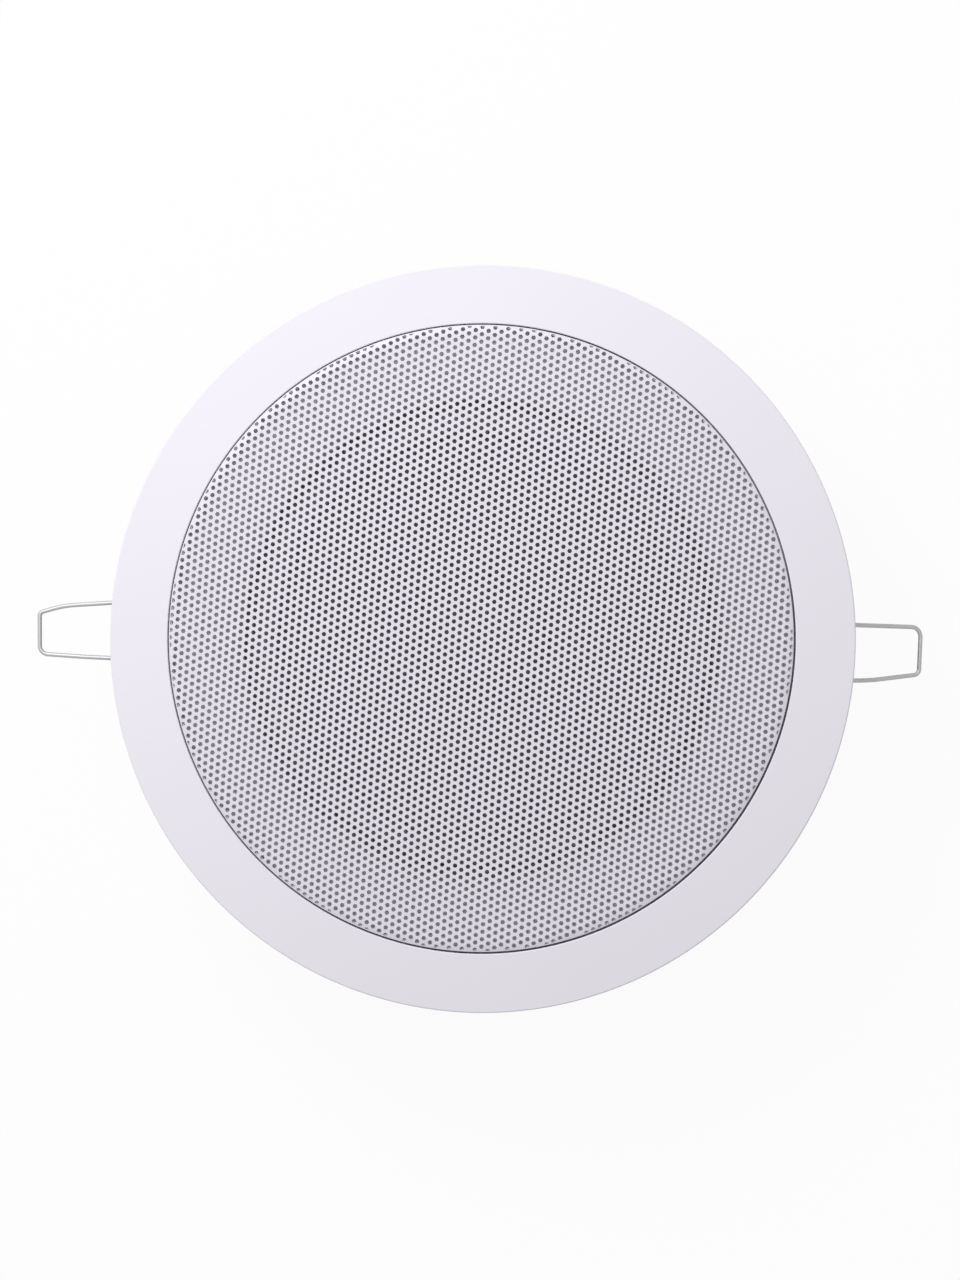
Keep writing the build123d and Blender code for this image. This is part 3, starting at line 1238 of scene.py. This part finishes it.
@dataclass
class SpringClip:
    """One bent wire: a loop between two coils, with tails that bear on the shelf."""

    side: Side
    droop: float
    bends: tuple[Corner, ...]
    wire_radius: float = 0.6
    wire_sides: int = 16
    pivot_radius: float = PIVOT_RADIUS
    pivot_depth: float = PIVOT_DEPTH
    coil_radius: float = 3.45
    coil_pitch: float = 1.24
    coil_turns: float = 2.25
    root_half: float = 8.7
    tail_length: float = PIVOT_DEPTH - SHELF_THICKNESS
    turn_steps: int = 28
    bend_steps: int = 10

    def _coil(self, hand: int) -> list[Point]:
        """Middle line of one coil.

        Args:
            hand: 1 for the coil on the +Y side of the loop and -1 for the other.

        Returns:
            Points from the coil's inner end to the start of its leg.
        """
        turns = self.coil_turns - self.droop / 360.0
        steps = round(turns * self.turn_steps)
        points: list[Point] = []
        for step in range(steps):
            left = turns * (1 - step / steps)
            angle = -math.pi / 2 - 2 * math.pi * left
            y = hand * (self.root_half - self.coil_pitch * left)
            points.append((self.coil_radius * math.cos(angle), y, self.coil_radius * math.sin(angle)))
        return points

    def _loop(self) -> list[Point]:
        """Middle line of the loop, from one coil's foot to the other's."""
        corners = [(0.0, -self.root_half, 0.0), *self.bends, (0.0, self.root_half, 0.0)]
        return [(x, y, -self.coil_radius) for x, y in rounded(corners, False, self.bend_steps)]

    def _line(self) -> tuple[list[Point], list[float]]:
        """Middle line of the whole wire as it rests.

        Returns:
            Points from one tail's end to the other's, and each point's share of the loop's turn.
        """
        droop = Matrix.Rotation(math.radians(self.droop), 4, "Y")
        runs = (self._coil(-1), self._loop(), self._coil(1))
        first, loop, second = ([tuple(droop @ Vector(point)) for point in run] for run in runs)
        ends = [(x, y, z + self.tail_length) for x, y, z in (first[0], second[0])]
        wound = [step / len(first) for step in range(len(first))]
        points = [ends[0], *first, *loop, *second[::-1], ends[1]]
        return points, [0.0, *wound, *[1.0] * len(loop), *wound[::-1], 0.0]

    def build(self, fitter: Fitter) -> None:
        """Bend the wire, whose coils wind up as the loop turns.

        Args:
            fitter: Takes the finished pieces.
        """
        node = f"{self.side.value}_clip"
        half_turn = math.pi if self.side is Side.LEFT else 0.0
        place = Matrix.Translation((self.pivot_radius, 0.0, -self.pivot_depth))
        points, shares = self._line()
        shell = Shell().tube(points, self.wire_radius, self.wire_sides)
        wire = shell.moved(Matrix.Rotation(half_turn, 4, "Z") @ place).piece(f"{node}_wire")
        spread = [share for share in shares for _ in range(self.wire_sides)]
        fitter.stretch(wire, Body(node), BRIGHT_WIRE, node, spread)


@dataclass
class Basket:
    """The stamped driver frame and what fixes it."""

    rim_radius: float = 75.5
    mouth_radius: float = MOUTH_RADIUS
    ledge_radius: float = 38.0
    cup_radius: float = 33.0
    floor_bore: float = 14.3
    rim_top: float = RIM_TOP
    ledge_top: float = -22.0
    floor_top: float = -30.0
    sheet: float = 1.0
    rim_round: float = 0.3
    ledge_round: float = 1.0
    floor_round: float = 1.5
    window_count: int = 8
    window_angle: float = 22.0
    window_margin: float = 4.0
    window_round: float = 2.4
    wall_rings: int = 6
    turn_steps: int = 224
    screw_break: float = 0.25

    def _wall_height(self, x: float, y: float) -> float:
        """Height of the wall's front at a place."""
        share = (math.hypot(x, y) - self.ledge_radius) / (self.mouth_radius - self.ledge_radius)
        return self.ledge_top + share * (self.rim_top - self.ledge_top)

    def _windows(self) -> list[list[Flat]]:
        """Outlines of the windows in the wall, seen along the sound axis.

        Returns:
            One outline for each window.
        """
        near = self.ledge_radius + self.window_margin
        far = self.mouth_radius - self.window_margin
        flare = math.tan(math.radians(self.window_angle / 2))
        corners = [(near, -near), (far, -far), (far, far), (near, near)]
        outline = rounded([(x, y * flare, self.window_round) for x, y in corners])
        turns = [2 * math.pi * index / self.window_count for index in range(self.window_count)]
        return [[spun(place, turn) for place in outline] for turn in turns]

    def build(self, fitter: Fitter) -> None:
        """Press the rim, the windowed wall, the ledge and the cup, and dress what fixes them.

        Args:
            fitter: Takes the finished pieces.
        """
        shell = Shell()
        rim = [
            (self.mouth_radius, self.rim_top - self.sheet, 0.0),
            (self.rim_radius, self.rim_top - self.sheet, self.rim_round),
            (self.rim_radius, self.rim_top, self.rim_round),
            (self.mouth_radius, self.rim_top, 0.0),
        ]
        shell.turn(rounded(rim), self.turn_steps)
        span = self.mouth_radius - self.ledge_radius
        slope = math.atan2(self.rim_top - self.ledge_top, span)
        radii = [self.mouth_radius - span * ring / self.wall_rings for ring in range(self.wall_rings + 1)]
        circles = [circle(radius, self.turn_steps) for radius in radii]
        holes = [*self._windows(), circles[-1]]
        shell.pierce(circles[0], holes, self._wall_height, self.sheet / math.cos(slope), circles[1:-1])
        half = self.sheet / 2
        cup = [
            (self.ledge_radius + half, self.ledge_top - half, 0.0),
            (self.cup_radius + half, self.ledge_top - half, self.ledge_round),
            (self.cup_radius + half, self.floor_top - half, self.floor_round),
            (self.floor_bore, self.floor_top - half, 0.0),
        ]
        shell.turn(sheet_outline(rounded(cup, closed=False), self.sheet))
        fitter.fit(shell.piece("basket_pressing"), Body.ROOT, BLACK_COAT, "basket")
        fitter.solid("front_gasket", GASKET_CARD)
        fitter.solid("driver_screws", ZINC_SCREW, self.screw_break)


@dataclass
class Diaphragm:
    """The cone with its edge, cap, spider and voice coil."""

    neck_radius: float = 12.8
    cone_radius: float = 54.0
    mouth_radius: float = MOUTH_RADIUS
    foot_radius: float = 64.3
    cone_top: float = RIM_TOP
    neck_top: float = -18.5
    cone_sheet: float = 0.6
    cone_bow: float = 0.9
    cone_steps: int = 24
    edge_sheet: float = 0.5
    edge_rise: float = 3.0
    edge_gap: float = 0.1
    edge_land: float = 0.9
    foot_step: float = 0.3
    foot_rise: float = 0.5
    cap_radius: float = 17.0
    cap_rise: float = 5.0
    cap_centre: float = 0.3
    cap_turn_steps: int = 128
    arc_steps: int = 16
    spider_inside: float = 12.85
    spider_outside: float = 37.4
    spider_middle: float = -21.6
    spider_sheet: float = 0.4
    spider_wave: float = 0.7
    spider_waves: int = 5
    spider_land: float = 2.2
    spider_turn_steps: int = 160
    wave_steps: int = 12
    cloth_sharp: float = 60.0

    def _cone_height(self, radius: float) -> float:
        """Height of the cone's front at a radius."""
        share = (radius - self.neck_radius) / (self.cone_radius - self.neck_radius)
        return self.neck_top + share * (self.cone_top - self.neck_top)

    def _cone_line(self) -> list[Flat]:
        """Middle line of the gently bowed cone.

        Returns:
            Points from its neck to its rim.
        """
        line: list[Flat] = []
        for step in range(self.cone_steps + 1):
            share = step / self.cone_steps
            radius = self.neck_radius + share * (self.cone_radius - self.neck_radius)
            bow = self.cone_bow * math.sin(math.pi * share)
            line.append((radius, self._cone_height(radius) - self.cone_sheet / 2 - bow))
        return line

    def _edge_line(self) -> list[Flat]:
        """Middle line of the rolled edge.

        Returns:
            Points from the cone's rim to the edge's foot on the basket.
        """
        base = self.cone_top - self.edge_sheet / 2
        inner = self.cone_radius + self.edge_land
        outer = self.mouth_radius - self.foot_step
        line = [(self.cone_radius + self.edge_gap, base), (inner - self.foot_step, base)]
        for step in range(self.arc_steps + 1):
            angle = math.pi * (1 - step / self.arc_steps)
            radius = (inner + outer) / 2 + (outer - inner) / 2 * math.cos(angle)
            line.append((radius, base + self.edge_rise * math.sin(angle)))
        line.append((outer + self.foot_step, base + self.foot_step))
        line.append((self.foot_radius, base + self.foot_rise))
        return line

    def _cap_line(self) -> list[Flat]:
        """Middle line of the domed cap.

        Returns:
            Points from its seat on the cone to the sound axis.
        """
        seat = self._cone_height(self.cap_radius) + self.cone_sheet / 2
        ball = (self.cap_radius**2 + self.cap_rise**2) / (2 * self.cap_rise)
        line: list[Flat] = []
        for step in range(self.arc_steps + 1):
            radius = self.cap_radius * (1 - step / self.arc_steps)
            line.append((radius, seat + self.cap_rise - ball + math.sqrt(ball**2 - radius**2)))
        return line

    def _pleats(self) -> Flat:
        """Radii at which the spider's pleats start and end."""
        return self.spider_inside + self.spider_land, self.spider_outside - self.spider_land

    def _spider_line(self) -> list[Flat]:
        """Middle line of the pleated spider.

        Returns:
            Points from the coil to the basket's ledge.
        """
        start, end = self._pleats()
        line = [(self.spider_inside, self.spider_middle)]
        steps = self.wave_steps * self.spider_waves
        for step in range(steps + 1):
            share = step / steps
            wave = self.spider_wave * math.sin(2 * math.pi * self.spider_waves * share)
            line.append((start + share * (end - start), self.spider_middle + wave))
        return line + [(self.spider_outside, self.spider_middle)]

    def _edge_share(self, place: Vector) -> float:
        """Share of the cone's travel at a place of the rolled edge."""
        return (self.mouth_radius - math.hypot(place.x, place.y)) / (self.mouth_radius - self.cone_radius)

    def _spider_share(self, place: Vector) -> float:
        """Share of the cone's travel at a place of the spider."""
        start, end = self._pleats()
        return (end - math.hypot(place.x, place.y)) / (end - start)

    def build(self, fitter: Fitter) -> None:
        """Form the paper and the cloth, and dress the coil.

        Args:
            fitter: Takes the finished pieces.
        """
        paper = Shell().turn(sheet_outline(self._cone_line(), self.cone_sheet))
        fitter.fit(paper.piece("cone_paper"), Body.CONE, CONE_PAPER, "cone")
        dome = sheet_outline(self._cap_line(), self.cone_sheet)
        dome = [(radius if radius > self.cap_centre else 0.0, height) for radius, height in dome]
        cap = Shell().turn(dome, self.cap_turn_steps)
        fitter.fit(cap.piece("dust_cap_dome"), Body.CONE, CONE_PAPER, "dust_cap")
        roll = Shell().turn(sheet_outline(self._edge_line(), self.edge_sheet))
        edge = roll.piece("surround_roll", self.cloth_sharp)
        shares = [self._edge_share(place) for place in places(edge)]
        fitter.stretch(edge, Body.CONE, EDGE_CLOTH, "surround", shares)
        disc = Shell().turn(sheet_outline(self._spider_line(), self.spider_sheet), self.spider_turn_steps)
        spider = disc.piece("spider_pleats", self.cloth_sharp)
        shares = [self._spider_share(place) for place in places(spider)]
        fitter.stretch(spider, Body.CONE, SPIDER_CLOTH, "spider", shares)
        fitter.solid("voice_coil_former", FORMER_PAPER)
        fitter.solid("voice_coil_winding", COIL_COPPER)


@dataclass
class Motor:
    """The magnet between its two steel plates."""

    plate_bore: float = 13.8
    plate_radius: float = 32.0
    plate_top: float = -31.0
    plate_bottom: float = -35.0
    magnet_bore: float = 17.0
    magnet_radius: float = 35.0
    magnet_bottom: float = -47.0
    yoke_radius: float = 33.0
    yoke_bottom: float = YOKE_BACK
    pole_radius: float = 11.9
    edge_break: float = 0.5
    break_steps: int = 3

    def _turned(self, corners: Sequence[Flat]) -> Shell:
        """Turn a section whose corners off the sound axis are broken."""
        broken = [(radius, height, self.edge_break if radius else 0.0) for radius, height in corners]
        return Shell().turn(rounded(broken, steps=self.break_steps))

    def _ring(self, inside: float, outside: float, bottom: float, top: float) -> Shell:
        """Turn a plain ring between two radii and two heights."""
        return self._turned([(inside, bottom), (outside, bottom), (outside, top), (inside, top)])

    def build(self, fitter: Fitter) -> None:
        """Turn the plates and the magnet.

        Args:
            fitter: Takes the finished pieces.
        """
        plate = self._ring(self.plate_bore, self.plate_radius, self.plate_bottom, self.plate_top)
        fitter.fit(plate.piece("top_plate_disc"), Body.ROOT, ZINC_TURNED, "top_plate")
        magnet = self._ring(self.magnet_bore, self.magnet_radius, self.magnet_bottom, self.plate_bottom)
        fitter.fit(magnet.piece("magnet_ring"), Body.ROOT, GROUND_FERRITE, "magnet")
        corners = [
            (0.0, self.yoke_bottom),
            (self.yoke_radius, self.yoke_bottom),
            (self.yoke_radius, self.magnet_bottom),
            (self.pole_radius, self.magnet_bottom),
            (self.pole_radius, self.plate_top),
            (0.0, self.plate_top),
        ]
        fitter.fit(self._turned(corners).piece("yoke_turning"), Body.ROOT, ZINC_TURNED, "yoke")


@dataclass
class Terminals:
    """The terminal board with its tags, and the leads to the coil."""

    tag_half: float = 7.5
    board_break: float = 0.15
    tag_break: float = 0.12
    rivet_break: float = 0.25
    lead_radius: float = 0.55
    lead_sides: int = 10
    lead_start: Flat = (64.25, -7.6)
    lead_outer: Flat = (54.0, -13.3)
    lead_inner: Flat = (46.0, -13.3)
    lead_end: Flat = (40.4, -9.9)

    def _lead_share(self, place: Vector) -> float:
        """Share of the cone's travel at a place of a lead."""
        return (self.lead_outer[0] - place.y) / (self.lead_outer[0] - self.lead_end[0])

    def build(self, fitter: Fitter) -> None:
        """Dress the board and its metal, and lay the leads.

        Args:
            fitter: Takes the finished pieces.
        """
        fitter.solid("terminal_strip", TERMINAL_BOARD, self.board_break)
        fitter.solid("terminal_tags", TINNED, self.tag_break)
        fitter.solid("terminal_rivet", TINNED, self.rivet_break)
        leads = Shell()
        stations = (self.lead_start, self.lead_outer, self.lead_inner, self.lead_end)
        for x in (-self.tag_half, self.tag_half):
            leads.tube(curve_through([(x, y, z) for y, z in stations]), self.lead_radius, self.lead_sides)
        braids = leads.piece("tinsel_braids")
        shares = [self._lead_share(place) for place in places(braids)]
        fitter.stretch(braids, Body.CONE, BRAID_COPPER, "tinsel_leads", shares)


@dataclass
class Studio:
    """A white floor, a soft key light from the upper left, an even fill and the camera.

    Lengths are in metres, apart from the floor's height, the aim, the lens and the sensor in millimetres.
    """

    floor_height: float = YOKE_BACK
    floor_half: float = 3.0
    floor_colour: Colour = (0.86, 0.86, 0.86)
    floor_glow: float = 0.94
    fill: float = 0.42
    key_power: float = 6.26
    key_size: float = 0.5
    key_place: Point = (-0.307, 0.491, 0.689)
    camera_distance: float = 0.9
    camera_tilt: float = 5.0
    camera_roll: float = 1.75
    view_range: float = 20.0
    aim: Point = (0.0, -0.35, 1.0)
    lens: float = 94.5
    sensor: float = 36.0

    def _floor(self) -> None:
        """Lay the floor, which shows white to the camera and keeps the shadow."""
        half = self.floor_half / MM
        corners = [(-half, -half), (half, -half), (half, half), (-half, half)]
        points = [(x, y, self.floor_height) for x, y in corners]
        floor = Shell().add(points, [(0, 1, 2, 3)]).piece("studio_floor")
        material = bpy.data.materials.new("studio_floor")
        material.use_nodes = True
        graph = Graph(material.node_tree)
        paint = graph.node("ShaderNodeBsdfDiffuse", None, {"Color": self.floor_colour})
        glow = graph.node("ShaderNodeEmission", None, {"Color": WHITE, "Strength": 1.0})
        seen = self._seen(graph) * self.floor_glow
        mixed = graph.node("ShaderNodeMixShader", None, {0: seen, 1: paint, 2: glow})
        graph.node("ShaderNodeOutputMaterial", None, {"Surface": mixed})
        floor.data.materials.append(material)

    def _seen(self, graph: Graph) -> Flow:
        """Tell where the camera sees a surface, directly, in a reflection or through glass.

        Args:
            graph: Node tree that asks.

        Returns:
            1 where it is seen, and otherwise 0.
        """
        path = graph.node("ShaderNodeLightPath", out="Is Camera Ray")
        seen = path + path.beside("Is Glossy Ray") + path.beside("Is Transmission Ray")
        return graph.node("ShaderNodeMath", {"operation": "MINIMUM"}, {0: seen, 1: 1.0})

    def _light(self) -> None:
        """Hang the key light and set the even fill."""
        lamp = bpy.data.lights.new("key_light", "AREA")
        lamp.energy = self.key_power
        lamp.size = self.key_size
        key = bpy.data.objects.new("key_light", lamp)
        key.location = self.key_place
        key.rotation_euler = (-Vector(self.key_place)).to_track_quat("-Z", "Y").to_euler()
        bpy.context.scene.collection.objects.link(key)
        world = bpy.data.worlds.new("studio")
        bpy.context.scene.world = world
        world.use_nodes = True
        graph = Graph(world.node_tree)
        strength = self.fill + self._seen(graph) * (1.0 - self.fill)
        sky = graph.node("ShaderNodeBackground", None, {"Color": WHITE, "Strength": strength})
        graph.node("ShaderNodeOutputWorld", None, {"Surface": sky})

    def _camera(self) -> None:
        """Set the camera above the grille, a little to the right and rolled as in the photograph."""
        lens = bpy.data.cameras.new("camera")
        lens.lens = self.lens
        lens.sensor_width = self.sensor
        lens.clip_end = self.view_range
        camera = bpy.data.objects.new("camera", lens)
        tilt = Matrix.Rotation(math.radians(self.camera_tilt), 4, "Y")
        roll = Matrix.Rotation(math.radians(self.camera_roll), 4, "Z")
        away = Matrix.Translation((0.0, 0.0, self.camera_distance))
        camera.matrix_world = Matrix.Translation(Vector(self.aim) * MM) @ tilt @ roll @ away
        bpy.context.scene.collection.objects.link(camera)
        bpy.context.scene.camera = camera

    def build(self) -> None:
        """Set up the floor, the light and the camera."""
        self._floor()
        self._light()
        self._camera()
        bpy.context.scene.view_settings.view_transform = "Standard"


def main() -> None:
    """Load the frame, build every sub-assembly on it and set up the studio."""
    logging.basicConfig(level=logging.INFO, format="%(message)s")
    for leftover in list(bpy.data.objects):
        bpy.data.objects.remove(leftover)
    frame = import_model()
    fitter = Fitter(frame)
    Bezel().build(fitter)
    Housing().build(fitter)
    Grille().build(fitter)
    SpringClip(Side.LEFT, droop=0.0, bends=LEFT_BENDS).build(fitter)
    SpringClip(Side.RIGHT, droop=22.5, bends=RIGHT_BENDS).build(fitter)
    Basket().build(fitter)
    Diaphragm().build(fitter)
    Motor().build(fitter)
    Terminals().build(fitter)
    Studio().build()
    LOG.info("%d pieces fitted", len(fitter.fitted))


if __name__ == "__main__":
    main()
